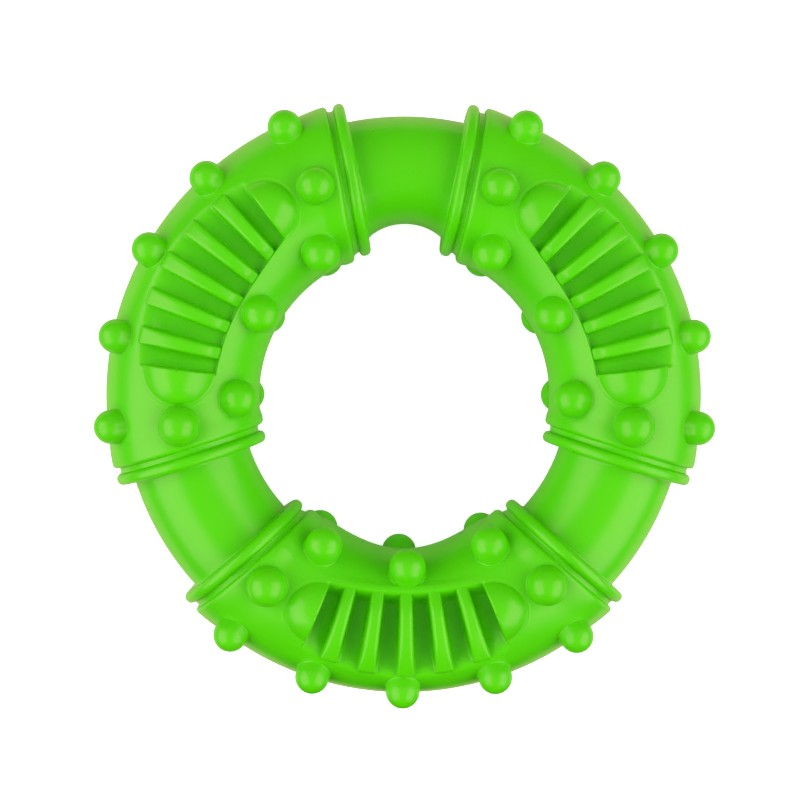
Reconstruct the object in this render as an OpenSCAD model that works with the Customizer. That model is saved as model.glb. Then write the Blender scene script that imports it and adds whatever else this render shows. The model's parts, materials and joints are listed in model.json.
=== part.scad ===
/* [Ring] */
// Radius of the ring's centre line
ring_r = 45; // [42:0.5:50]
// Radius of the round section of each neck
neck_r = 12; // [10.5:0.25:13.5]
// Radius of the round section of each lobe
lobe_r = 15.4; // [14.6:0.1:17]
// Depth of the finger waist on the inner side of the top neck
waist_depth = 2.5; // [0:0.1:4]

/* [Collars] */
// Angle round the ring from the middle of a neck to each of its flanges
flange_angle = 13.9; // [13:0.1:15]
// Angle by which the two flanges of a neck lean towards being parallel
flange_toe_angle = 3; // [0:0.5:5]
// Height of the flange's rim above the lobe
flange_rise = 0.2; // [0:0.1:1.2]
// Thickness of the flange
flange_t = 2.2; // [1.8:0.1:2.8]
// Radius of the rounded edges of the flange's rim
flange_edge_r = 0.8; // [0.4:0.1:0.8]
// Width of the groove between the flange and the bead
groove_w = 1.3; // [0.9:0.1:1.8]
// Depth of the groove's floor below the lobe
groove_depth = 0.9; // [0.5:0.1:1.4]
// Width of the thin bead where the lobe begins
bead_w = 1.2; // [0.8:0.1:1.6]
// Height of that bead above the lobe
bead_rise = 0.25; // [0.1:0.05:0.5]

/* [Ribbed windows] */
// Angle round the ring from a lobe's middle to the end walls of its windows
window_angle = 22.5; // [21.5:0.1:24]
// Width of a window's floor, half of it on each side of the ring's centre line
window_w = 14.6; // [12:0.2:16]
// Depth of the window's floor below the crest of the lobe
window_depth = 5.6; // [4:0.1:7]
// Radius of the window's outer curve at the floor
window_curve_r = 27.3; // [26:0.1:30]
// Angle by which the outer wall leans out from upright
window_flare_angle = 44; // [30:1:50]
// Number of ribs in a window
rib_count = 5; // [3:2:5]
// Angle round the ring between neighbouring ribs
rib_pitch_angle = 8.2; // [7.6:0.1:8.6]
// Width of a rib at its inner end
rib_inner_w = 2; // [1.6:0.1:2.4]
// Width of a rib at its outer end
rib_outer_w = 2.6; // [2.2:0.1:3]
// Height of the rib tops above the lobe
rib_rise = 0.7; // [0.3:0.1:1.2]
// Radius, seen from the front, of the half dome at each end of a window
dome_r = 6.3; // [5.4:0.1:6.8]
// Height of the half dome's crown above the crest of the lobe
dome_crown = 1.7; // [1.5:0.1:2.2]
// Radius of the half dome's curve along the ring
dome_along_r = 19; // [19:0.5:24]
// Radius of the half dome's curve across the ring
dome_across_r = 9; // [8.5:0.1:9.4]

/* [Nubs] */
// Number of nubs in each row round the outside of a lobe
outer_nub_count = 5; // [3:2:5]
// Radius of the nubs round the outside of a lobe
outer_nub_r = 3.4; // [2.8:0.1:3.8]
// Height of their round tops' centres above the lobe
outer_nub_lift = 1.2; // [0.6:0.1:1.8]
// Angle of those nubs in the lobe's section, from its outermost point
outer_nub_lean_angle = 36; // [30:1:40]
// Angle round the ring between neighbouring outer nubs
outer_nub_pitch_angle = 18; // [16:0.25:18.5]
// Number of nubs in each row round the inside of a lobe
inner_nub_count = 3; // [1:2:3]
// Radius of the nubs round the inside of a lobe
inner_nub_r = 3.6; // [3:0.1:4]
// Height of their round tops' centres above the lobe
inner_nub_lift = 1.4; // [0.8:0.1:2]
// Angle of those nubs in the lobe's section, from its innermost point
inner_nub_lean_angle = 46; // [40:1:48]
// Angle round the ring between neighbouring inner nubs
inner_nub_pitch_angle = 30; // [26:0.5:31]
// Radius of the nubs on the crest of a lobe, on which the toy lies
crest_nub_r = 3.8; // [3.2:0.1:4]
// Height of their round tops' centres above the lobe
crest_nub_lift = 0.8; // [0.5:0.1:1.6]
// Angle round the ring from the lobe's middle to each crest nub
crest_nub_angle = 36.7; // [36:0.1:37]

/* [Hidden] */
$fn = 96;

// Colour of the moulded rubber
rubber = [0.31, 0.80, 0.10];
// Places round the ring, counted from the right-hand side
top_neck_angle = 90;
left_neck_angle = 210;
right_neck_angle = 330;
left_lobe_angle = 150;
right_lobe_angle = 30;
bottom_lobe_angle = 270;
lobe_to_neck_angle = 60;
quarter_turn = 90;
// How far the cutting shapes run past what they cut, and past an angle
overrun = ring_r / 15;
overrun_angle = 4;
// Radii of the flange and of the groove's floor, and length of a collar
flange_r = lobe_r + flange_rise;
groove_r = lobe_r - groove_depth;
collar_len = flange_t + groove_w + bead_w;
bead_r = lobe_r + bead_rise;
bead_edge_r = bead_w / 3;
// Faces of the lofted top neck
waist_steps = 16;
waist_sides = 40;
// Radius of a window's inner wall, and distance from the ring's axis to the
// middle of its outer curve
window_inner_r = ring_r - window_w / 2;
window_curve_at = ring_r + window_w / 2 - window_curve_r;
// Height of a window's floor and of the highest thing cut by a window
floor_z = lobe_r - window_depth;
window_top_z = lobe_r + rib_rise + overrun;

// Steps at which an odd number of like things lie on both sides of a middle
function spread(count) = [for (i = [0 : count - 1]) i - (count - 1) / 2];

// Turns a part to its place round the ring. The ring's centre is the origin
// and its axis is Z
module round_ring(place) {
    rotate([0, 0, place])
        children();
}

// The flange's own frame: +Y leads from the neck into the lobe, and the
// origin is the middle of the flange on the tube's centre line
module at_flange(neck_angle, way) {
    round_ring(neck_angle)
        scale([1, way, 1])
            rotate([0, 0, flange_angle])
                translate([ring_r, 0, 0])
                    rotate([0, 0, -flange_toe_angle])
                        children();
}

// A stretch of round tube along the ring's centre line
module tube(section_r, half_angle) {
    rotate_extrude(angle = 2 * half_angle, start = -half_angle)
        translate([ring_r, 0])
            circle(section_r);
}

// The whole round tube, for cutting what sits on it
module full_tube(section_r) {
    rotate_extrude()
        translate([ring_r, 0])
            circle(section_r);
}

// A block in the flange's frame that covers the tube from one place along
// it to another
module tube_block(from_y, to_y) {
    half = flange_r + overrun;
    translate([-half, from_y, -half])
        cube([2 * half, to_y - from_y, 2 * half]);
}

module neck_end_cut(neck_angle, way) {
    at_flange(neck_angle, way)
        tube_block(-flange_t / 2, collar_len + overrun);
}

module lobe_end_cut(neck_angle, way) {
    at_flange(neck_angle, way)
        tube_block(-flange_r, collar_len - flange_t / 2);
}

// A plain neck: a bent round bar between the faces of its two flanges
module plain_neck(neck_angle) {
    color(rubber)
        difference() {
            round_ring(neck_angle)
                tube(neck_r, flange_angle + overrun_angle);
            neck_end_cut(neck_angle, 1);
            neck_end_cut(neck_angle, -1);
        }
}

// The loft of the waisted neck: sections are set along the bend from one
// flange face (share -1) to the other (share 1). The inner half of a
// section is drawn in by the waist, which fades to nothing at both ends.
function waist_here(share) = waist_depth * pow(1 - share * share, 1.5);
function neck_turn(share) = share * (flange_angle - flange_toe_angle);
function neck_middle(share) =
    let (way = share < 0 ? -1 : 1, s = abs(share), turn = flange_angle - flange_toe_angle)
    let (end = [ring_r * cos(flange_angle) + flange_t / 2 * sin(turn),
                ring_r * sin(flange_angle) - flange_t / 2 * cos(turn)])
    let (end_r = norm(end), end_angle = atan2(end[1], end[0]))
    let (r = ring_r + (end_r - ring_r) * s)
    [r * cos(s * end_angle), way * r * sin(s * end_angle)];
function neck_point(share, angle) =
    let (middle = neck_middle(share), turn = neck_turn(share))
    let (inward = max(0, -cos(angle)))
    let (out = neck_r * cos(angle) + waist_here(share) * inward * inward)
    [middle[0] + out * cos(turn), middle[1] + out * sin(turn), neck_r * sin(angle)];

module waisted_neck(neck_angle) {
    points = [
        for (i = [0 : waist_steps], j = [0 : waist_sides - 1])
            neck_point(2 * i / waist_steps - 1, 360 * j / waist_sides)
    ];
    sides = [
        for (i = [0 : waist_steps - 1], j = [0 : waist_sides - 1])
            let (a = i * waist_sides, b = a + waist_sides, k = (j + 1) % waist_sides)
            for (face = [[a + j, b + k, b + j], [a + j, a + k, b + k]]) face
    ];
    first_end = [for (j = [waist_sides - 1 : -1 : 0]) j];
    last_end = [for (j = [0 : waist_sides - 1]) waist_steps * waist_sides + j];
    color(rubber)
        round_ring(neck_angle)
            polyhedron(points, concat(sides, [first_end, last_end]));
}

// Half of a disc's section, with both corners of its rim rounded
module rim_section(rim_r, thick, edge_r) {
    square([rim_r - edge_r, thick]);
    translate([0, edge_r])
        square([rim_r, thick - 2 * edge_r]);
    for (y = [edge_r, thick - edge_r])
        translate([rim_r - edge_r, y])
            circle(edge_r);
}

// A collar: the flange, the groove and the thin bead, turned as one piece
module collar(neck_angle, way) {
    color(rubber)
        at_flange(neck_angle, way)
            translate([0, -flange_t / 2, 0])
                rotate([-quarter_turn, 0, 0])
                    rotate_extrude() {
                        square([groove_r, collar_len]);
                        rim_section(flange_r, flange_t, flange_edge_r);
                        translate([0, flange_t + groove_w])
                            rim_section(bead_r, bead_w, bead_edge_r);
                    }
}

// The space of one window: a slice of a ring with flat ends, an upright
// inner wall and a flat floor, inside the cone of the curved outer wall
module window_space() {
    reach = window_top_z - floor_z;
    sink = overrun / 2;
    lean = tan(window_flare_angle);
    intersection() {
        rotate_extrude(angle = 2 * window_angle, start = -window_angle)
            translate([window_inner_r, floor_z])
                square([ring_r, reach]);
        translate([window_curve_at, 0, floor_z - sink])
            cylinder(h = reach + 2 * sink, r1 = window_curve_r - sink * lean,
                     r2 = window_curve_r + (reach + sink) * lean);
    }
}

// Front is the side with +Z; the back is its mirror image
module on_side(side) {
    scale([1, 1, side])
        children();
}

// A lobe: a thicker bent bar between two collars, with a window in front
// and another behind
module lobe(lobe_angle) {
    color(rubber)
        difference() {
            round_ring(lobe_angle) {
                difference() {
                    tube(lobe_r, lobe_to_neck_angle - flange_angle + overrun_angle);
                    on_side(1) window_space();
                    on_side(-1) window_space();
                }
            }
            lobe_end_cut(lobe_angle - lobe_to_neck_angle, 1);
            lobe_end_cut(lobe_angle + lobe_to_neck_angle, -1);
        }
}

// The ribs of one window: tapered blades that stand on its floor, run from
// wall to wall and end in round tops just proud of the lobe
module ribs(lobe_angle, side) {
    outer_end = window_inner_r + ring_r;
    growth = (rib_outer_w - rib_inner_w) / window_w;
    color(rubber)
        round_ring(lobe_angle)
            on_side(side)
                intersection() {
                    for (i = spread(rib_count))
                        rotate([0, 0, i * rib_pitch_angle])
                            rib_blade(outer_end, rib_inner_w / 2, growth / 2);
                    window_space();
                    tube(lobe_r + rib_rise, window_angle + overrun_angle);
                }
}

// One blade of a rib, wider by a steady growth from its inner end outwards
module rib_blade(outer_end, half_w, growth) {
    start = window_inner_r - overrun;
    near = half_w - overrun * growth;
    far = half_w + (outer_end - window_inner_r) * growth;
    translate([0, 0, floor_z - overrun])
        linear_extrude(window_top_z - floor_z + 2 * overrun)
            polygon([[start, -near], [outer_end, -far], [outer_end, far], [start, near]]);
}

// The half domes at both ends of one window, each cut off flat where the
// window begins and cut back where a crest nub would meet it
module domes(lobe_angle, side) {
    color(rubber)
        round_ring(lobe_angle)
            on_side(side)
                difference() {
                    for (way = [-1, 1])
                        scale([1, way, 1])
                            rotate([0, 0, window_angle])
                                half_dome();
                    full_tube(lobe_r);
                    crest_pegs(1);
                }
}

// Half of a round pad whose top is curved gently along the ring and
// strongly across it, as the outside of a fat ring is
module half_dome() {
    top = lobe_r + dome_crown;
    translate([ring_r, 0, 0])
        intersection() {
            translate([0, 0, top - dome_along_r])
                rotate([0, quarter_turn, 0])
                    rotate_extrude()
                        translate([dome_along_r - dome_across_r, 0])
                            circle(dome_across_r);
            translate([0, 0, floor_z])
                cylinder(h = top - floor_z + overrun, r = dome_r);
            translate([-ring_r, 0, floor_z - overrun])
                cube([2 * ring_r, ring_r, top + overrun]);
        }
}

// A nub: a round-ended peg, made along +Z from inside the lobe
module peg(peg_r, lift) {
    rotate_extrude()
        intersection() {
            union() {
                translate([0, lobe_r + lift])
                    circle(peg_r);
                translate([0, lobe_r - peg_r])
                    square([peg_r, peg_r + lift]);
            }
            translate([0, lobe_r - peg_r])
                square([2 * peg_r, 3 * peg_r + lift]);
        }
}

// Places a peg on the tube: turn goes round the ring, and tilt goes round
// the tube's section from its outermost point towards the front
module on_tube(turn, tilt) {
    rotate([0, 0, turn])
        translate([ring_r, 0, 0])
            rotate([0, quarter_turn - tilt, 0])
                children();
}

module outer_nubs(lobe_angle) {
    nubs_on_lobe(lobe_angle)
        for (i = spread(outer_nub_count), side = [1, -1])
            on_tube(i * outer_nub_pitch_angle, side * outer_nub_lean_angle)
                peg(outer_nub_r, outer_nub_lift);
}

module inner_nubs(lobe_angle) {
    nubs_on_lobe(lobe_angle)
        for (i = spread(inner_nub_count), side = [1, -1])
            on_tube(i * inner_nub_pitch_angle, 2 * quarter_turn - side * inner_nub_lean_angle)
                peg(inner_nub_r, inner_nub_lift);
}

module crest_nubs(lobe_angle) {
    nubs_on_lobe(lobe_angle)
        for (side = [1, -1])
            crest_pegs(side);
}

module crest_pegs(side) {
    for (way = [-1, 1])
        on_tube(way * crest_nub_angle, side * quarter_turn)
            peg(crest_nub_r, crest_nub_lift);
}

// Trims pegs to the lobe's surface, to its windows' edges and to the beads
// at its two ends
module nubs_on_lobe(lobe_angle) {
    color(rubber)
        difference() {
            round_ring(lobe_angle) {
                difference() {
                    children();
                    full_tube(lobe_r);
                    on_side(1) window_space();
                    on_side(-1) window_space();
                }
            }
            lobe_end_cut(lobe_angle - lobe_to_neck_angle, 1);
            lobe_end_cut(lobe_angle + lobe_to_neck_angle, -1);
        }
}

waisted_neck(top_neck_angle);  // neck_top
plain_neck(left_neck_angle);  // neck_lower_left
plain_neck(right_neck_angle);  // neck_lower_right
collar(top_neck_angle, 1);  // collar_top_left
collar(top_neck_angle, -1);  // collar_top_right
collar(left_neck_angle, -1);  // collar_left_upper
collar(left_neck_angle, 1);  // collar_left_lower
collar(right_neck_angle, 1);  // collar_right_upper
collar(right_neck_angle, -1);  // collar_right_lower
lobe(left_lobe_angle);  // lobe_upper_left
lobe(right_lobe_angle);  // lobe_upper_right
lobe(bottom_lobe_angle);  // lobe_bottom
ribs(left_lobe_angle, 1);  // front_ribs_upper_left
ribs(right_lobe_angle, 1);  // front_ribs_upper_right
ribs(bottom_lobe_angle, 1);  // front_ribs_bottom
ribs(left_lobe_angle, -1);  // back_ribs_upper_left
ribs(right_lobe_angle, -1);  // back_ribs_upper_right
ribs(bottom_lobe_angle, -1);  // back_ribs_bottom
domes(left_lobe_angle, 1);  // front_domes_upper_left
domes(right_lobe_angle, 1);  // front_domes_upper_right
domes(bottom_lobe_angle, 1);  // front_domes_bottom
domes(left_lobe_angle, -1);  // back_domes_upper_left
domes(right_lobe_angle, -1);  // back_domes_upper_right
domes(bottom_lobe_angle, -1);  // back_domes_bottom
outer_nubs(left_lobe_angle);  // outer_nubs_upper_left
outer_nubs(right_lobe_angle);  // outer_nubs_upper_right
outer_nubs(bottom_lobe_angle);  // outer_nubs_bottom
inner_nubs(left_lobe_angle);  // inner_nubs_upper_left
inner_nubs(right_lobe_angle);  // inner_nubs_upper_right
inner_nubs(bottom_lobe_angle);  // inner_nubs_bottom
crest_nubs(left_lobe_angle);  // crest_nubs_upper_left
crest_nubs(right_lobe_angle);  // crest_nubs_upper_right
crest_nubs(bottom_lobe_angle);  // crest_nubs_bottom
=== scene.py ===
import json
import math

import bpy
import numpy as np
from mathutils import Matrix, Vector

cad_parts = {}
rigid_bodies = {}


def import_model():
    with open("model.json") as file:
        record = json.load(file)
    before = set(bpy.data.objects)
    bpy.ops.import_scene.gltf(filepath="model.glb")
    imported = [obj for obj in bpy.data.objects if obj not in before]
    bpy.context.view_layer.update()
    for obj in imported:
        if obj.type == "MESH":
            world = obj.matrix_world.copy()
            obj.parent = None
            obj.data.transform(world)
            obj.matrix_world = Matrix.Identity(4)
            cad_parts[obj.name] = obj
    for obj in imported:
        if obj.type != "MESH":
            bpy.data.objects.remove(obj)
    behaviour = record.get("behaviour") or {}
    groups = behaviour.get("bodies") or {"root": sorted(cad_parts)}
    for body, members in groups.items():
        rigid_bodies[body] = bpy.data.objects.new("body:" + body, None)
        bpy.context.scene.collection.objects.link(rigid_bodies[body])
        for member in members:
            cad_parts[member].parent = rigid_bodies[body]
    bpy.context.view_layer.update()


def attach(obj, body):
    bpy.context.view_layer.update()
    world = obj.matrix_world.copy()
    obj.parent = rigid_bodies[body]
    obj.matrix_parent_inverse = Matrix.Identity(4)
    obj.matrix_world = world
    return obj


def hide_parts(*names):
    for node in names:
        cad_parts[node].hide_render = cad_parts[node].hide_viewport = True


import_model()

# Sizes in millimetres and angles in degrees, as in the part's own source
RING_R = 45.0
LOBE_R = 15.4
WAIST_DEPTH = 2.1
FLANGE_ANGLE = 13.9
FLANGE_R = 15.65
FLANGE_T = 2.2
FLANGE_EDGE_R = 1.04
GROOVE_W = 1.3
GROOVE_R = 14.5
BEAD_W = 1.2
COLLAR_LEN = FLANGE_T + GROOVE_W + BEAD_W
# Radius from which a collar's flat side is laid out; a fan of faces shuts it within
COLLAR_FOOT_R = 12.0
NECK_FILLET_R = 0.45
END_SWELL = 0.35
# Angle over which a lobe swells towards its ends
END_SWELL_ANGLE = 6.0

# Edges between faces that meet more sharply than this stay sharp
CREASE_ANGLE = 38
# Steps in each rounded corner of an outline
ARC_STEPS = 8

# Angles from a lobe's middle: its nominal end, the middle of the next neck, and where the lobe's
# sections begin to lean
LOBE_END_ANGLE = 41.5
NECK_ANGLE = 60
LEAN_FROM_ANGLE = 31
# The dip of a lobe's inner wall: where the middle's dip is gone, and where that of the ends begins
MIDDLE_DIP_ANGLE = 34
END_DIP_ANGLE = 29

WINDOW_ANGLE = 22.5
# How far past the window's angle its end walls start, and the angle over which they go down
END_WALL_PAST = 0.62
END_WALL_SPREAD = 0.75
WINDOW_CURVE_AT = 25.0
WINDOW_CURVE_R = 27.3
WINDOW_LEAN = math.tan(math.radians(44))
# A window's band of grid lines starts inside its rim by this much, and ends past its outer edge
BAND_INSIDE = 0.9
BAND_PAST = 1.9
# How far inside the rim the inner wall starts to go down
RIM_START = 0.35
# Level inside the lobe at which ribs and domes are shut
INSIDE_Z = 8.0
RIB_STEP = 8.2
RIB_RISE = 0.7
# A rib's half width at its inner distance from the ring's axis, and its growth per mm outwards
RIB_INNER_R = 37.7
RIB_INNER_HALF = 1.0
RIB_GROWTH = 0.032
# A rib's outer end: the length of its rounding, and the share of its width that is left there
RIB_END_LENGTH = 0.8
RIB_END_SHARE = 0.6
# How far a rib's ends sink into the lobe, and its foot into the floor
RIB_SINK = 0.4
RIB_ROOT = 0.15
# Height of the section from which a rib's blade is scaled
RIB_SECTION_HEIGHT = 6.0
DOME_CROWN = 2.3
EDGE_BLEND = 2.4
FLOOR_BLEND = 3.0
# The rise of the floor in a window's end slots, and the angles over which it comes up
END_SLOT_RISE = 0.9
END_SLOT_ANGLES = (17, 20)
# A dome's rounded edge, how far its foot reaches as a share of its radius, and where it goes under
DOME_EDGE_R = 0.45
DOME_FOOT = 1.26
DOME_TUCK = 1.16
# The groove and the ridge round a dome: height, place as a share of its radius, and width
DOME_GROOVE = (-0.13, 1.02, 0.22)
DOME_RIDGE = (0.03, 1.09, 0.25)

OUTER_NUB_LEAN = 36
NUB_FOOT_R = 0.25
# How far a nub's foot goes on under the lobe's surface: outwards, down at its rim, and before it
NUB_TUCK_OUT = 0.25
NUB_TUCK_DOWN = 0.35
NUB_FOOT_SINK = 0.015
OUTER_NUB = dict(ball_r=3.4, lift=1.2)
INNER_NUB = dict(ball_r=3.65, lift=1.4)
# Height of a crest nub over the lobe
CREST_HEIGHT = 4.6

LOBE_ANGLE = {"upper_left": 150, "upper_right": 30, "bottom": 270}
# Each neck's angle round the ring, its section's radius, how far its middle is from the ring's
# axis, and the toe angles of the collars at its low and high end round the ring
NECKS = {
    "neck_top": (90, 11.85, 44.85, 3.0, 3.0),
    "neck_lower_left": (210, 12.0, 45.25, 1.0, 3.0),
    "neck_lower_right": (330, 12.0, 45.25, 3.0, 1.0),
}
# Each collar's neck, its side of the neck, its toe angle, and how far the flange and the lobe's
# edge are drawn in towards the tube's middle at their innermost points
COLLAR_PLACE = {
    "collar_top_left": (90, 1, 3.0, 0.4, 0.0),
    "collar_top_right": (90, -1, 3.0, 0.4, 0.0),
    "collar_left_upper": (210, -1, 1.0, 0.15, 0.0),
    "collar_left_lower": (210, 1, 3.0, 0.9, 0.6),
    "collar_right_upper": (330, 1, 1.0, 0.15, 0.0),
    "collar_right_lower": (330, -1, 3.0, 0.9, 0.6),
}
# Toe angles of the collars at a lobe's low and high end
LOBE_TOE = {"upper_left": (3.0, 1.0), "upper_right": (1.0, 3.0), "bottom": (3.0, 3.0)}
# Depth of the dip in a lobe's inner wall at the lobe's middle and at its ends
LOBE_DIP = {"upper_left": (0.0, 0.0), "upper_right": (0.0, 0.0), "bottom": (1.6, 0.6)}
# Level of the slots between the ribs, and the level at which a window's leaning outer wall starts
SLOT_FLOOR_Z = {"upper_left": 11.7, "upper_right": 11.6, "bottom": 10.4}
WALL_FOOT_Z = {"upper_left": 10.7, "upper_right": 10.7, "bottom": 10.1}
# Width over which a window's inner wall goes down
RIM_WIDTH = {"upper_left": 0.6, "upper_right": 0.6, "bottom": 3.6}
# Distance of a window's inner rim from the ring's axis at its middle, and how much further out the
# rim is at the window's two ends: first at the lower angle round the ring, then at the higher
RIM_LINE = {
    "upper_left": (37.55, 1.9, 0.2),
    "upper_right": (37.55, 0.2, 1.9),
    "bottom": (37.8, 0.9, 0.9),
}
# The half domes of each window, in the same order: radius, and the distance of the flat face's
# middle from the ring's axis
DOMES = {
    "upper_left": ((6.2, 45.6), (6.9, 44.8)),
    "upper_right": ((6.9, 44.8), (6.2, 45.6)),
    "bottom": ((6.15, 45.4), (6.15, 45.4)),
}
# Outer nubs: angles from the lobe's middle
OUTER_PLACES = {
    "upper_left": (-35.7, -17.7, 0, 18, 35.6),
    "upper_right": (-35.7, -17.7, 0.3, 18.3, 36.3),
    "bottom": (-36.5, -18.5, -0.5, 17.9, 35.8),
}
# Inner nubs: angle from the lobe's middle in front, the same behind, and lean from straight out
INNER_PLACES = {
    "upper_left": ((-29.4, -30, 136), (0, 0, 136), (30, 30, 136.3)),
    "upper_right": ((-30, -30, 136.8), (0, 0, 136), (30, 30, 136)),
    "bottom": ((-29.3, -31.8, 135), (0.5, -1.4, 134.5), (29.8, 30, 135)),
}
# Crest nubs: angle from the lobe's middle, lean from straight out, and the ball's radius
CREST_PLACES = {
    "upper_left": ((-36.7, 90, 3.65), (36.7, 91.5, 4.0)),
    "upper_right": ((-36.7, 91, 4.0), (36.7, 90, 3.65)),
    "bottom": ((-36.8, 88.5, 4.0), (37.2, 88, 4.0)),
}

# The paper under the toy, in millimetres: its lines in x and in y, and its level
FLOOR_X = (-135.0, 0.0, 135.0)
FLOOR_Y = (-82.0, 50.0, 180.0)
FLOOR_Z = -20.0

# How brightly the paper glows for the camera, and for soft light from its surroundings
PAPER_SEEN = 0.7
PAPER_GLOW = 0.1

# The room's light: its darkest level, what is added where it is brightest, and the two parts of
# the direction, in y and z, from which it is brightest
ROOM_LEVEL = 0.16
ROOM_RISE = 0.56
ROOM_Y = 0.45
ROOM_Z = 0.89

# The two soft boxes: elevation in degrees, distance, width and height in metres, power in watts
BOX_ELEVATION = 34
BOX_DISTANCE = 1.0
BOX_WIDTH = 1.5
BOX_HEIGHT = 1.0
BOX_POWER = 10.5

# The camera: the picture's width, the lens's focal length and the view's middle in pixels, the
# distance in metres, and the tilt, pan and roll in degrees
PICTURE = 800
FOCAL_PIXELS = 1643
VIEW_MIDDLE = (404.8, 396.6)
EYE_DISTANCE = 0.335
EYE_TILT = 2.3
EYE_PAN = -1.7
EYE_ROLL = 0.19
SENSOR_WIDTH = 36


def cosd(a):
    """Cosine of an angle in degrees."""
    return np.cos(np.radians(a))


def sind(a):
    """Sine of an angle in degrees."""
    return np.sin(np.radians(a))


def ease(x, start, end):
    """Smooth step: 0 up to start, 1 from end on, and 3t^2 - 2t^3 between, where t is the share
    of the way."""
    t = np.clip((x - start) / (end - start), 0, 1)
    return t * t * (3 - 2 * t)


def soft_max(a, b, blend):
    """The greater of two heights, with a round valley where they cross: a quarter of the blend is
    added there, times the square of what their difference lacks to the blend, as a share of it."""
    near = np.maximum(0, 1 - np.abs(a - b) / blend)
    return np.maximum(a, b) + blend / 4 * near ** 2


def soft_min(a, b, blend):
    """The lesser of two heights, with a round edge where they cross: soft_max of the heights
    turned over."""
    return -soft_max(-a, -b, blend)


def rounded_line(corners, radii):
    """A line through the corners with each corner replaced by an arc: the arc touches both straight
    runs at radius / tan(half the angle between them) from the corner."""
    corners = np.asarray(corners, float)
    out = [corners[:1]]
    for before, at, after, radius in zip(corners, corners[1:], corners[2:], radii):
        a = (before - at) / np.linalg.norm(before - at)
        b = (after - at) / np.linalg.norm(after - at)
        half = math.acos(np.clip(a @ b, -1, 1)) / 2
        reach = radius / math.tan(half)
        middle = at + (a + b) / np.linalg.norm(a + b) * radius / math.sin(half)
        start = at + a * reach - middle
        side = at + b * reach - middle
        t = np.linspace(0, 1, ARC_STEPS + 1)[:, None]
        turn = math.pi - 2 * half
        arc = (np.sin((1 - t) * turn) * start + np.sin(t * turn) * side) / math.sin(turn)
        out.append(middle + arc)
    out.append(corners[-1:])
    return np.vstack(out)


def spread_line(points, spacing):
    """The same line with its long straight runs divided evenly, so that no step is longer than
    the spacing."""
    steps = np.linalg.norm(np.diff(points, axis=0), axis=1)
    counts = np.maximum(1, np.ceil(steps / spacing)).astype(int)
    index = np.concatenate([k + np.arange(n) / n for k, n in enumerate(counts)] + [[len(steps)]])
    base = np.arange(len(points))
    return np.stack([np.interp(index, base, points[:, k]) for k in range(points.shape[1])], axis=1)


def turned(points, angle):
    """Points turned about the ring's axis by an angle in degrees."""
    c, s = cosd(angle), sind(angle)
    return points @ np.array([[c, s, 0], [-s, c, 0], [0, 0, 1]])


def to_ring(r, angle, z):
    """Cylinder coordinates about the ring's axis: distance from it, angle round it and height."""
    return np.stack(np.broadcast_arrays(r * cosd(angle), r * sind(angle), z), axis=-1)


def end_plane_angle(r, y, toe):
    """Angle round the ring from a neck's middle at which the plane y mm past the flange's middle
    is met at distance r from the ring's axis. The plane leans by the toe angle, so the angle is
    that of its normal plus the arcsine of its distance from the ring's axis over r."""
    lean = FLANGE_ANGLE - toe
    start = RING_R * sind(toe)
    return lean + np.degrees(np.arcsin((start + y) / r))


def lobe_dip(angle, dip):
    """Depth of the dip in a lobe's inner wall: one value at the lobe's middle, which falls with
    the square of a cosine of the angle, and another that eases in towards its ends."""
    share = np.minimum(np.abs(angle) / MIDDLE_DIP_ANGLE, 1)
    at_ends = ease(np.abs(angle), END_DIP_ANGLE, LOBE_END_ANGLE)
    return dip[0] * cosd(90 * share) ** 2 + dip[1] * at_ends


def lobe_section(angle, turn, dip):
    """A point of the plain lobe's section: a circle whose inner half is drawn in by the dip, times
    the square of the cosine, so the dip is deepest at the innermost point."""
    inward = np.maximum(0, -cosd(turn))
    reach = LOBE_R - lobe_dip(angle, dip) * inward ** 2
    return RING_R + reach * cosd(turn), reach * sind(turn)


def lobe_top(r):
    """Height of the plain lobe above the middle plane at distance r from the axis."""
    return np.sqrt(np.maximum(LOBE_R ** 2 - (r - RING_R) ** 2, 0))


def curve_distance(r, angle):
    """Distance from the axis about which the window's outer wall curves, by the cosine rule."""
    return np.sqrt(r ** 2 + WINDOW_CURVE_AT ** 2 - 2 * WINDOW_CURVE_AT * r * cosd(angle))


def wall_height(r, angle, side_name):
    """Height of a window's leaning outer wall: a cone about the curve's own axis."""
    return WALL_FOOT_Z[side_name] + (curve_distance(r, angle) - WINDOW_CURVE_R) / WINDOW_LEAN


def pocket_floor(r, angle, side_name):
    """Height of a window's floor and leaning outer wall: the floor is level but for a rise in the
    window's end slots, and a round valley joins the two."""
    level = SLOT_FLOOR_Z[side_name] + END_SLOT_RISE * ease(np.abs(angle), *END_SLOT_ANGLES)
    return soft_max(level, wall_height(r, angle, side_name), FLOOR_BLEND)


def rim_line(angle, side_name):
    """Distance of a window's inner rim from the ring's axis: its middle value, and beyond that a
    part that grows with the share of the way to the window's end, to the power 2.2."""
    middle, low_end, high_end = RIM_LINE[side_name]
    share = np.clip(np.abs(angle) / WINDOW_ANGLE, 0, 1.05)
    return middle + np.where(angle < 0, low_end, high_end) * share ** 2.2


def window_edge(angle, side_name):
    """Distance from the ring's axis at which a window's leaning outer wall meets the lobe, found
    by halving the range twenty times."""
    low = np.full_like(angle, 49.0)
    high = np.full_like(angle, 58.0)
    for _ in range(20):
        middle = (low + high) / 2
        under = wall_height(middle, angle, side_name) < lobe_top(middle)
        low = np.where(under, middle, low)
        high = np.where(under, high, middle)
    return low


def mirrored(points):
    """Points mirrored to the toy's other face."""
    return points * np.array([1, 1, -1])


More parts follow.
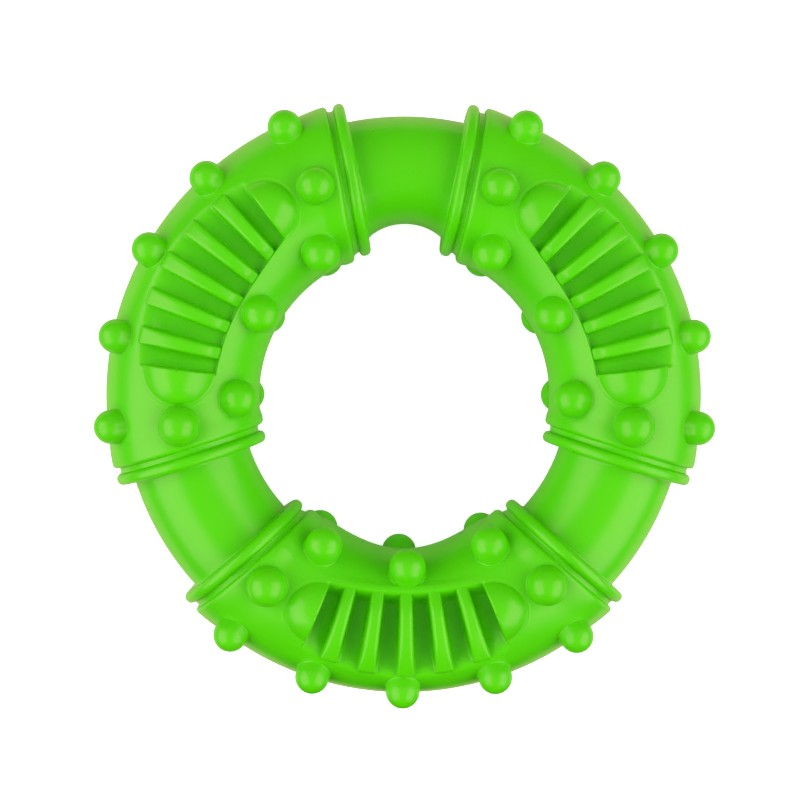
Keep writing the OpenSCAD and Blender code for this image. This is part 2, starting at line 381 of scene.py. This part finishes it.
def join(shells):
    """Several shells as one list of points and faces, each shell's face numbers moved on by the
    points before it."""
    starts = np.cumsum([0] + [len(points) for points, faces in shells[:-1]])
    moved = [faces + start for (points, faces), start in zip(shells, starts)]
    points = np.vstack([points for points, faces in shells])
    faces = np.vstack(moved)
    return points, faces


def outward(shell):
    """The shell with its faces turned outwards: they are turned over if the volume that they shut
    in, a sixth of the sum of each triangle's corners' box product, comes out negative."""
    points, faces = shell
    a, b, c, d = (points[faces[:, k]] for k in range(4))
    volume = (a * np.cross(b, c)).sum() + (a * np.cross(c, d)).sum()
    return points, faces if volume > 0 else faces[:, [1, 0, 3, 2]]


def grid_faces(rows, cols, around):
    """Four-cornered faces of a grid of points. Where it goes around, its last column meets its
    first."""
    i = np.arange(rows - 1)[:, None]
    j = np.arange(cols if around else cols - 1)[None, :]
    k = (j + 1) % cols
    a = i * cols + j
    b = i * cols + k
    return np.stack([a, b, b + cols, a + cols], axis=-1).reshape(-1, 4)


def closed_tube(points):
    """A grid whose rows are closed rings, shut at both ends by a point in the middle of the end
    ring. A triangle is kept as a face whose last corner is used twice."""
    rows, cols, _ = points.shape
    body = points.reshape(-1, 3)
    first = points[0].mean(axis=0)
    last = points[-1].mean(axis=0)
    faces = grid_faces(rows, cols, True)
    j = np.arange(cols)
    k = (j + 1) % cols
    top = np.stack([np.full(cols, rows * cols), k, j, j], axis=1)
    end = (rows - 1) * cols
    low = np.stack([np.full(cols, rows * cols + 1), end + j, end + k, end + k], axis=1)
    return np.vstack([body, first, last]), np.vstack([faces, top, low])


def mould(name, shell, node):
    """Puts a shell into a mesh in metres, as the piece that stands for a node of the part."""
    points, faces = outward(shell)
    mesh = bpy.data.meshes.new(name)
    triangle = faces[:, 2] == faces[:, 3]
    sizes = np.where(triangle, 3, 4)
    starts = np.concatenate([[0], np.cumsum(sizes)[:-1]])
    keep = np.ones(faces.shape, bool)
    keep[triangle, 3] = False
    corners = faces[keep]
    mesh.vertices.add(len(points))
    mesh.vertices.foreach_set("co", (points * 0.001).astype(np.float32).ravel())
    mesh.loops.add(len(corners))
    mesh.loops.foreach_set("vertex_index", corners.astype(np.int32))
    mesh.polygons.add(len(faces))
    mesh.polygons.foreach_set("loop_start", starts.astype(np.int32))
    mesh.update(calc_edges=True)
    mesh.validate()
    mesh.shade_smooth()
    mesh.set_sharp_from_angle(angle=math.radians(CREASE_ANGLE))
    piece = bpy.data.objects.new(name, mesh)
    bpy.context.scene.collection.objects.link(piece)
    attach(piece, "root")
    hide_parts(node)


def neck_shell(neck_angle, neck_r, middle_r, low_toe, high_toe, waist):
    """A neck: a ring section carried round the bend between its two end planes. Sections move
    evenly from plane to plane. The inner half is drawn in by the waist times (1 - s^2)^0.9, where
    s is the share of the way to an end. Both ends flare in a quarter circle into the flanges."""
    share = np.linspace(-1, 1, 97)
    ends = 1 - np.array([0, 0.02, 0.045, 0.075, 0.11, 0.15])
    share = np.unique(np.concatenate([share, ends, -ends]))[:, None]
    turn = np.linspace(0, 360, 144, endpoint=False)[None, :]
    drawn = waist * (1 - share ** 2) ** 0.9 * np.maximum(0, -cosd(turn)) ** 2
    reach = neck_r - drawn
    r = middle_r + reach * cosd(turn)
    end = end_plane_angle(r, -FLANGE_T / 2, np.where(share < 0, low_toe, high_toe))
    angle = share * end
    to_end = r * np.radians(end - np.abs(angle))
    t = np.clip(to_end / NECK_FILLET_R, 0, 1)
    reach = reach + NECK_FILLET_R * (1 - np.sqrt(1 - (1 - t) ** 2))
    points = to_ring(middle_r + reach * cosd(turn), angle, reach * sind(turn))
    return closed_tube(turned(points, neck_angle))


def collar_line():
    """The collar's outline, as place along it and radius: flange with rounded rim, groove, and the
    bead at the lobe's edge, which stands a little proud of the lobe. The groove's two sides lean
    by 0.12 and 0.15 mm."""
    start = -FLANGE_T / 2
    groove = start + FLANGE_T
    edge = groove + GROOVE_W
    corners = [
        (start, COLLAR_FOOT_R),
        (start, FLANGE_R),
        (groove, FLANGE_R),
        (groove + 0.12, GROOVE_R),
        (edge, GROOVE_R),
        (edge + 0.15, LOBE_R + END_SWELL),
        (edge + BEAD_W, LOBE_R + END_SWELL),
    ]
    radii = [FLANGE_EDGE_R, FLANGE_EDGE_R, 0.4, 0.3, 0.85]
    return spread_line(rounded_line(corners, radii), 0.3)


def collar_shell(neck_angle, way, toe, flange_cut, edge_cut):
    """A collar: its outline carried round the toy's own tube. Each point of the outline lies on
    the plane across the flange's axis, where the tube of that radius meets it. The inner half is
    drawn in by the cuts, times the square of the cosine, and the groove leads from one cut to the
    other."""
    line = collar_line()
    y = line[:, 0][:, None]
    reach = line[:, 1][:, None]
    turn = np.linspace(0, 360, 192, endpoint=False)[None, :]
    cut = flange_cut + (edge_cut - flange_cut) * ease(y, FLANGE_T / 2, FLANGE_T / 2 + GROOVE_W)
    reach = reach - cut * np.maximum(0, -cosd(turn)) ** 2
    r = RING_R + reach * cosd(turn)
    points = to_ring(r, way * end_plane_angle(r, y, toe), reach * sind(turn))
    return closed_tube(turned(points, neck_angle))


def window_lines():
    """Angles of a lobe's sections, close together where the windows' end walls are, and out to
    the lobe's nominal end."""
    near = np.array([
        -1.5, -0.7, -0.25, 0, 0.08, 0.16, 0.24, 0.32,
        0.4, 0.48, 0.56, 0.64, 0.8, 1.2, 2, 3,
    ])
    near = WINDOW_ANGLE + END_WALL_PAST - near
    middle = np.linspace(0, 18, 25)
    far = np.linspace(25, LOBE_END_ANGLE, 22)
    return np.unique(np.concatenate([middle, near, far, -middle, -near, -far]))


def lobe_shell(side_name):
    """A lobe with a window in front and behind. Its section is the plain lobe's circle outside the
    windows. Inside them the height is the pocket's floor or the lobe's top, whichever is lower,
    and a smooth step as wide as the rim leads down the inner wall, and another the end walls. The
    last sections lean more and more, so that the very last one lies on the collar's plane."""
    dip = LOBE_DIP[side_name]
    rim = RIM_WIDTH[side_name]
    base = window_lines()[:, None]
    rim_r = rim_line(base, side_name)
    rim_lines = np.concatenate([np.linspace(0, 1.7, 18), np.linspace(1.85, 4.4, 17)])
    floor_lines = np.linspace(4.7, 9.5, 18)
    outer_share = np.linspace(0, 1, 42)[1:]
    # the window's band runs from just inside its inner rim to just outside its leaning wall
    edge = window_edge(base, side_name)
    inner = rim_r - BAND_INSIDE + np.concatenate([rim_lines, floor_lines])[None, :]
    start = inner[:, -1:]
    outer = start + (edge + BAND_PAST - start) * outer_share[None, :]
    r_band = np.concatenate([inner, outer], axis=1)
    top = lobe_top(r_band)
    floor = soft_min(pocket_floor(r_band, base, side_name), top, EDGE_BLEND)
    inside = ease(r_band - rim_r, -RIM_START, rim - RIM_START)
    before_end = WINDOW_ANGLE + END_WALL_PAST - np.abs(base)
    inside = inside * ease(before_end, 0, END_WALL_SPREAD)
    z_band = top + (floor - top) * inside
    turn_in = np.degrees(np.arccos((r_band[:, :1] - RING_R) / LOBE_R))
    turn_out = np.degrees(np.arccos((r_band[:, -1:] - RING_R) / LOBE_R))
    share = np.linspace(0, 1, 25)[None, :]
    outside = turn_out * share
    outside_r, outside_z = lobe_section(base, outside, dip)
    inside_turn = turn_in + (180 - turn_in) * share
    inside_r, inside_z = lobe_section(base, inside_turn, dip)
    r_half = np.concatenate([outside_r[:, :-1], r_band[:, ::-1], inside_r[:, 1:]], axis=1)
    z_half = np.concatenate([outside_z[:, :-1], z_band[:, ::-1], inside_z[:, 1:]], axis=1)
    r = np.concatenate([r_half, r_half[:, -2:0:-1]], axis=1)
    z = np.concatenate([z_half, -z_half[:, -2:0:-1]], axis=1)
    swell_from = LOBE_END_ANGLE - END_SWELL_ANGLE
    swell = 1 + END_SWELL / LOBE_R * ease(np.abs(base), swell_from, LOBE_END_ANGLE)
    r = RING_R + (r - RING_R) * swell
    toe = np.where(base < 0, *LOBE_TOE[side_name])
    end = NECK_ANGLE - end_plane_angle(r, COLLAR_LEN - FLANGE_T / 2, toe)
    lean = (end - LOBE_END_ANGLE) * ease(np.abs(base), LEAN_FROM_ANGLE, LOBE_END_ANGLE)
    angle = np.sign(base) * (np.abs(base) + lean)
    points = to_ring(r, angle, z * swell)
    return closed_tube(turned(points, LOBE_ANGLE[side_name]))


def rib_shell(turn, side_name):
    """One rib: a rounded blade section carried outwards from the inner rim to the leaning wall. The
    section's sides lean a little and flare into the floor, and its top follows the lobe, just proud
    of it, sinking into the rim at its inner end and rounding off at its outer end."""
    edge = window_edge(np.array([float(turn)]), side_name)[0]
    start = float(rim_line(turn, side_name))
    rim = RIM_WIDTH[side_name]
    r = np.concatenate([
        np.linspace(start - 1.4, start + 2.6, 21),
        np.linspace(start + 2.9, edge - 1.4, 18),
        np.linspace(edge - 1.2, edge + 0.9, 22),
    ])[:, None]
    half = RIB_INNER_HALF + RIB_GROWTH * (r - RIB_INNER_R)
    top = np.sqrt((LOBE_R + RIB_RISE) ** 2 - (r - RING_R) ** 2)
    plain = lobe_top(r)
    sink = ease(r - start, -0.5, rim + 1.5)
    blunt = np.sqrt(1 - np.clip((r - edge - 0.05) / RIB_END_LENGTH, 0, 1) ** 2)
    half = half * (RIB_END_SHARE + (1 - RIB_END_SHARE) * blunt)
    top = plain - RIB_SINK + (top - plain + RIB_SINK) * np.minimum(sink, blunt)
    foot = soft_min(pocket_floor(r, turn, side_name), plain, EDGE_BLEND) - RIB_ROOT
    # the blade's section: offset from the half width, and height above the foot
    high = RIB_SECTION_HEIGHT
    line = rounded_line([(1.3, 0.0), (0.4, 0.0), (0.04, high), (-1.0, high)], [0.8, 0.9])
    spread = np.maximum(half + line[:, 0][None, :], 0)
    across = np.concatenate([-spread, spread[:, -2::-1]], axis=1)
    lift = np.concatenate([line[:, 1], line[-2::-1, 1]]) / high
    height = foot + (top - foot) * lift[None, :]
    x = r + 0 * across
    below = np.full_like(x[:, :1], INSIDE_Z)
    left = across[:, :1]
    right = across[:, -1:]
    across = np.concatenate([left, across, right], axis=1)
    height = np.concatenate([below, height, below], axis=1)
    x = np.concatenate([x[:, :1], x, x[:, :1]], axis=1)
    points = np.stack([x, across, height], axis=-1)
    return closed_tube(turned(points, turn + LOBE_ANGLE[side_name]))


def ring_round(q, dome_r, height, place, width):
    """A rounded ring about a dome, up or down: height * exp(-d^2), where d is the distance from
    its place over its width, and q and the place are shares of the dome's radius."""
    return height * np.exp(-((q - place) * dome_r / width) ** 2)


def dome_shell(way, side_name):
    """A half dome at one end of a window, on a polar grid about the middle of its flat face. Its
    height over the lobe is crown * (1 - q^2.6)^0.9, where q is the distance over the dome's radius;
    a shallow groove and a fine ridge run round its foot, and the edge of its face is rounded."""
    dome_r, face_at = DOMES[side_name][0 if way < 0 else 1]
    t = np.linspace(0, 180, 73)
    around = 90 * (1 - cosd(t))
    out = np.concatenate([
        np.linspace(0.02, 0.85, 20),
        1 - 0.15 * (1 - np.linspace(0, 1, 14)[1:]) ** 2,
        np.linspace(1.0, DOME_FOOT, 19)[1:],
    ]) * dome_r
    q = (out / dome_r)[:, None]
    x = out[:, None] * cosd(around)[None, :]
    y = out[:, None] * sind(around)[None, :]
    # the innermost row lies in the flat face, so that the face closes at its middle
    y[0] = 0.0
    r = np.hypot(face_at + x, y)
    plain = lobe_top(r)
    bulge = DOME_CROWN * np.maximum(0, 1 - np.minimum(q, 1) ** 2.6) ** 0.9
    fade = ease(y, 0.0, 1.5)
    groove = ring_round(q, dome_r, *DOME_GROOVE)
    ridge = ring_round(q, dome_r, *DOME_RIDGE) * fade
    tuck = -0.5 * ease(q, DOME_TUCK, DOME_FOOT)
    z = plain + bulge + groove + ridge + tuck
    # the edge of the flat face: a quarter circle
    to_round = 1 - np.clip(y / DOME_EDGE_R, 0, 1)
    z = z - DOME_EDGE_R * (1 - np.sqrt(np.clip(1 - to_round ** 2, 0, 1)))
    # the solid under this top: the same plan, closed at a level inside the lobe
    rows, cols = z.shape
    top = np.stack([face_at + x, way * y, z], axis=-1)
    low = np.stack([face_at + x, way * y, np.full_like(z, INSIDE_Z)], axis=-1)
    points = np.concatenate([top.reshape(-1, 3), low.reshape(-1, 3)])
    points = turned(points, way * WINDOW_ANGLE + LOBE_ANGLE[side_name])
    upper = grid_faces(rows, cols, False)
    count = rows * cols
    lower = upper[:, ::-1] + count
    i = np.arange(rows - 1)
    j = np.arange(cols - 1)
    first = i * cols
    face_a = np.stack([first, first + cols, first + cols + count, first + count], axis=1)
    last = i * cols + cols - 1
    face_b = np.stack([last + cols, last, last + count, last + cols + count], axis=1)
    rim = (rows - 1) * cols + j
    skirt = np.stack([rim, rim + 1, rim + 1 + count, rim + count], axis=1)
    hub = np.stack([j + 1, j, j + count, j + 1 + count], axis=1)
    return outward((points, np.vstack([upper, lower, face_a, face_b, skirt, hub])))


def lobe_height(offset_u, offset_v, angle, tilt, dip):
    """Height of the lobe's surface along a nub's axis, at offsets along and across the ring. It is
    found by stepping along the axis by what is missing to the lobe's own radius, twelve times
    over. It comes with the offsets as points and with the axis."""
    centre = np.array([RING_R, 0, 0])
    axis = np.array([cosd(tilt), 0, sind(tilt)])
    along = np.array([0, 1, 0])
    across = np.array([-sind(tilt), 0, cosd(tilt)])
    flat = centre + offset_u[..., None] * along + offset_v[..., None] * across
    height = np.full(offset_u.shape, LOBE_R)
    for _ in range(12):
        p = flat + height[..., None] * axis
        r = np.hypot(p[..., 0], p[..., 1])
        here = np.degrees(np.arctan2(p[..., 1], p[..., 0])) + angle
        reach = np.hypot(r - RING_R, p[..., 2])
        inward = np.maximum(0, -(r - RING_R) / np.maximum(reach, 1e-6))
        height = height + (LOBE_R - lobe_dip(here, dip) * inward ** 2 - reach)
    return height, flat, axis


def nub_shell(angle, tilt, ball_r, lift, dip, place):
    """A nub: a ball's cap, a short stem and a foot whose quarter-circle fillet lies down on the
    lobe. Rows go down from the crown, columns go round the nub's axis."""
    round_it = np.linspace(0, 360, 64, endpoint=False)[None, :]
    cap = np.linspace(2.5, 90, 22)[:, None]
    foot = np.linspace(0, 90, 12)[:, None]
    cap_out = ball_r * sind(cap) + 0 * round_it
    foot_out = ball_r + NUB_FOOT_R * (1 - cosd(foot)) + 0 * round_it
    tuck_out = foot_out[-1:] + NUB_TUCK_OUT
    out = np.concatenate([cap_out, foot_out, tuck_out])
    height, flat, axis = lobe_height(out * cosd(round_it), out * sind(round_it), angle, tilt, dip)
    cap_h = LOBE_R + lift + ball_r * cosd(cap) + 0 * round_it
    rows = len(cap)
    foot_h = height[rows:-1] + NUB_FOOT_R * (1 - sind(foot)) - NUB_FOOT_SINK
    foot_h = np.minimum(foot_h, LOBE_R + lift)
    tuck_h = height[-1:] - NUB_TUCK_DOWN
    reach = np.concatenate([cap_h, foot_h, tuck_h])
    points = flat + reach[..., None] * axis
    return closed_tube(turned(points, angle + place))


# The toy's pieces, each in the place of the node whose name it carries
for node, sizes in NECKS.items():
    waist = WAIST_DEPTH if node == "neck_top" else 0.0
    mould(node + "_rubber", neck_shell(*sizes, waist), node)

for node, place in COLLAR_PLACE.items():
    mould(node + "_rubber", collar_shell(*place), node)

for side_name, place in LOBE_ANGLE.items():
    dip = LOBE_DIP[side_name]
    mould("lobe_" + side_name + "_rubber", lobe_shell(side_name), "lobe_" + side_name)
    ribs = join([rib_shell(k * RIB_STEP, side_name) for k in range(-2, 3)])
    domes = join([dome_shell(way, side_name) for way in (-1, 1)])
    for face_name, face in (("front", 1), ("back", -1)):
        for kind, shell in (("ribs", ribs), ("domes", domes)):
            node = f"{face_name}_{kind}_{side_name}"
            made = shell if face > 0 else (mirrored(shell[0]), shell[1])
            mould(node + "_rubber", made, node)
    rows = {
        "outer_nubs_": [
            (nub_angle, way * OUTER_NUB_LEAN, OUTER_NUB)
            for nub_angle in OUTER_PLACES[side_name]
            for way in (1, -1)
        ],
        "inner_nubs_": [
            (nub_angle, way * lean, INNER_NUB)
            for front, behind, lean in INNER_PLACES[side_name]
            for nub_angle, way in ((front, 1), (behind, -1))
        ],
        "crest_nubs_": [
            (nub_angle, way * lean, dict(ball_r=ball_r, lift=CREST_HEIGHT - ball_r))
            for nub_angle, lean, ball_r in CREST_PLACES[side_name]
            for way in (1, -1)
        ],
    }
    for start, nubs in rows.items():
        node = start + side_name
        shells = [nub_shell(a, tilt, dip=dip, place=place, **size) for a, tilt, size in nubs]
        mould(node + "_rubber", join(shells), node)


class Socket:
    """A number, colour or vector that a node gives out, with sums written as plain expressions."""

    def __init__(self, tree, out):
        self.tree = tree
        self.out = out

    def math(self, operation, *others):
        return self.tree.node("ShaderNodeMath", dict(operation=operation), [self, *others])

    def __add__(self, other):
        return self.math("ADD", other)

    def __radd__(self, other):
        return self.math("ADD", other)

    def __sub__(self, other):
        return self.math("SUBTRACT", other)

    def __rsub__(self, other):
        return self.tree.node("ShaderNodeMath", dict(operation="SUBTRACT"), [other, self])

    def __mul__(self, other):
        return self.math("MULTIPLY", other)

    def __rmul__(self, other):
        return self.math("MULTIPLY", other)


class Finish:
    """The nodes of a material or of the room's light. node() makes any node: its settings go in
    first, then its sockets' values or links. It gives out one socket, or the node itself where
    out is None or it has no socket to give."""

    def __init__(self, name, owner=None):
        self.material = owner or bpy.data.materials.new(name)
        self.material.use_nodes = True
        self.nodes = self.material.node_tree.nodes
        self.links = self.material.node_tree.links
        self.nodes.clear()

    def node(self, kind, settings=None, values=None, out=0):
        made = self.nodes.new(kind)
        for key, value in (settings or {}).items():
            setattr(made, key, value)
        pairs = values.items() if isinstance(values, dict) else enumerate(values or [])
        for key, value in pairs:
            if isinstance(value, Socket):
                self.links.new(value.out, made.inputs[key])
            else:
                made.inputs[key].default_value = value
        if out is None or not made.outputs:
            return made
        return Socket(self, made.outputs[out])

    def mix(self, share, a, b):
        """A colour between a and b."""
        return self.node("ShaderNodeMix", dict(data_type="RGBA"), {0: share, 6: a, 7: b}, out=2)

    def noise(self, place, scale, detail):
        """Soft noise: scale is how many of its cells lie side by side in a metre."""
        values = {"Vector": place, "Scale": scale, "Detail": detail}
        return self.node("ShaderNodeTexNoise", None, values)

    def ray(self, *kinds):
        """For each kind of ray that is asked for, 1 where the ray is of that kind and else 0."""
        path = self.node("ShaderNodeLightPath", out=None)
        return [Socket(self, path.outputs[f"Is {kind} Ray"]) for kind in kinds]


def rubber_finish():
    """Moulded green rubber: even satin green, very slightly cloudy, with a fine skin and a faint
    parting line round the toy's middle plane."""
    f = Finish("moulded_green_rubber")
    place = f.node("ShaderNodeTexCoord", out="Object")
    cloud = f.noise(place, 60.0, 3.0)
    grain = f.noise(place, 1600.0, 2.0)
    skin = f.noise(place, 260.0, 3.0)
    green = f.mix((cloud - 0.3) * 1.6, (0.081, 0.65, 0.0001, 1), (0.097, 0.69, 0.0004, 1))
    rough = 0.3 + (skin - 0.5) * 0.12
    # a parting line where the mould's two halves meet: a ridge that is gone 0.1 mm to either side
    height = f.node("ShaderNodeSeparateXYZ", None, [place], out=2)
    parting = (1 - height.math("ABSOLUTE") * 10000).math("MAXIMUM", 0.0)
    relief = skin * 0.6 + grain * 0.15 + parting * 2.5
    bump = f.node("ShaderNodeBump", None, {"Strength": 0.12, "Distance": 0.0001, "Height": relief})
    shader = f.node("ShaderNodeBsdfPrincipled", None, {
        "Base Color": green,
        "Roughness": rough,
        "IOR": 1.6,
        "Specular Tint": (1.0, 0.3, 0.52, 1),
        "Normal": bump,
    })
    f.node("ShaderNodeOutputMaterial", None, {"Surface": shader})
    return f.material


rubber = rubber_finish()
for piece in bpy.context.scene.objects:
    if piece.type == "MESH" and piece.name.endswith("_rubber"):
        piece.data.materials.clear()
        piece.data.materials.append(rubber)


def floor_finish():
    """Pale studio paper. What the camera sees of it is raised to white and keeps the toy's shadow.
    In reflections it is warmer and dimmer, as the green rubber shows it."""
    f = Finish("pale_studio_paper")
    by_camera, by_gloss = f.ray("Camera", "Glossy")
    paper = f.mix(by_gloss, (0.84, 0.84, 0.84, 1), (0.84, 0.62, 0.42, 1))
    shader = f.node("ShaderNodeBsdfPrincipled", None, {
        "Base Color": paper,
        "Roughness": 0.9,
        "Emission Color": (1, 1, 1, 1),
        "Emission Strength": by_camera * PAPER_SEEN + (1 - by_gloss) * PAPER_GLOW,
    })
    f.node("ShaderNodeOutputMaterial", None, {"Surface": shader})
    return f.material


def studio_floor():
    """A flat sheet of paper under the toy, at the height of its lowest nubs. It reaches further
    beyond the toy's waisted neck than beyond the opposite lobe."""
    x, y = np.meshgrid(np.array(FLOOR_X), np.array(FLOOR_Y))
    points = np.stack([x, y, np.full_like(x, FLOOR_Z)], axis=-1).reshape(-1, 3)
    mesh = bpy.data.meshes.new("studio_floor")
    mesh.from_pydata((points * 0.001).tolist(), [], grid_faces(3, 3, False).tolist())
    floor = bpy.data.objects.new("studio_floor", mesh)
    bpy.context.scene.collection.objects.link(floor)
    mesh.materials.append(floor_finish())


studio_floor()


def soft_box(name, azimuth):
    """A soft box that looks at the toy from an angle round it, above the floor."""
    light = bpy.data.lights.new(name, "AREA")
    light.shape = "RECTANGLE"
    light.size = BOX_WIDTH
    light.size_y = BOX_HEIGHT
    light.energy = BOX_POWER
    lamp = bpy.data.objects.new(name, light)
    out = BOX_DISTANCE * cosd(BOX_ELEVATION)
    place = Vector(to_ring(out, azimuth, BOX_DISTANCE * sind(BOX_ELEVATION)).tolist())
    look = place.to_track_quat("Z", "Y").to_matrix().to_4x4()
    lamp.matrix_world = Matrix.Translation(place) @ look
    bpy.context.scene.collection.objects.link(lamp)


soft_box("soft_box_right", -14)
soft_box("soft_box_left", 189)


def studio_room():
    """The room's soft light, white where the camera looks past the paper."""
    f = Finish("studio_room_light", bpy.data.worlds.new("studio_room"))
    by_camera, by_gloss = f.ray("Camera", "Glossy")
    place = f.node("ShaderNodeTexCoord", out="Generated")
    parts = f.node("ShaderNodeSeparateXYZ", None, [place], out=None)
    # brightest above the toy and a little towards its waisted neck, darkest below the floor
    toward = Socket(f, parts.outputs[1]) * ROOM_Y + Socket(f, parts.outputs[2]) * ROOM_Z
    toward = toward.math("MAXIMUM", 0.0)
    level = (ROOM_LEVEL + toward * toward * ROOM_RISE) * (1 - by_gloss) + by_camera
    air = f.node("ShaderNodeBackground", None, {"Color": (1, 1, 1, 1), "Strength": level})
    f.node("ShaderNodeOutputWorld", None, {"Surface": air})
    return f.material


bpy.context.scene.world = studio_room()

# The camera stands where the photograph's stood, almost straight over the toy's front face
camera = bpy.data.cameras.new("camera")
camera.sensor_width = SENSOR_WIDTH
camera.lens = SENSOR_WIDTH * FOCAL_PIXELS / PICTURE
camera.shift_x = -(VIEW_MIDDLE[0] - PICTURE / 2) / PICTURE
camera.shift_y = (VIEW_MIDDLE[1] - PICTURE / 2) / PICTURE
camera.clip_start = 0.01
camera.clip_end = 20
eye = bpy.data.objects.new("camera", camera)
tilt = math.radians(EYE_TILT)
pan = math.radians(EYE_PAN)
away = Vector((math.sin(pan) * math.cos(tilt), math.sin(tilt), math.cos(pan) * math.cos(tilt)))
side = Vector((0, 1, 0)).cross(away).normalized()
up = away.cross(side)
roll = math.radians(EYE_ROLL)
turned_side = side * math.cos(roll) + up * math.sin(roll)
turned_up = up * math.cos(roll) - side * math.sin(roll)
eye.matrix_world = Matrix((
    (turned_side.x, turned_up.x, away.x, away.x * EYE_DISTANCE),
    (turned_side.y, turned_up.y, away.y, away.y * EYE_DISTANCE),
    (turned_side.z, turned_up.z, away.z, away.z * EYE_DISTANCE),
    (0, 0, 0, 1),
))
bpy.context.scene.collection.objects.link(eye)
bpy.context.scene.camera = eye
bpy.context.scene.view_settings.view_transform = "Standard"
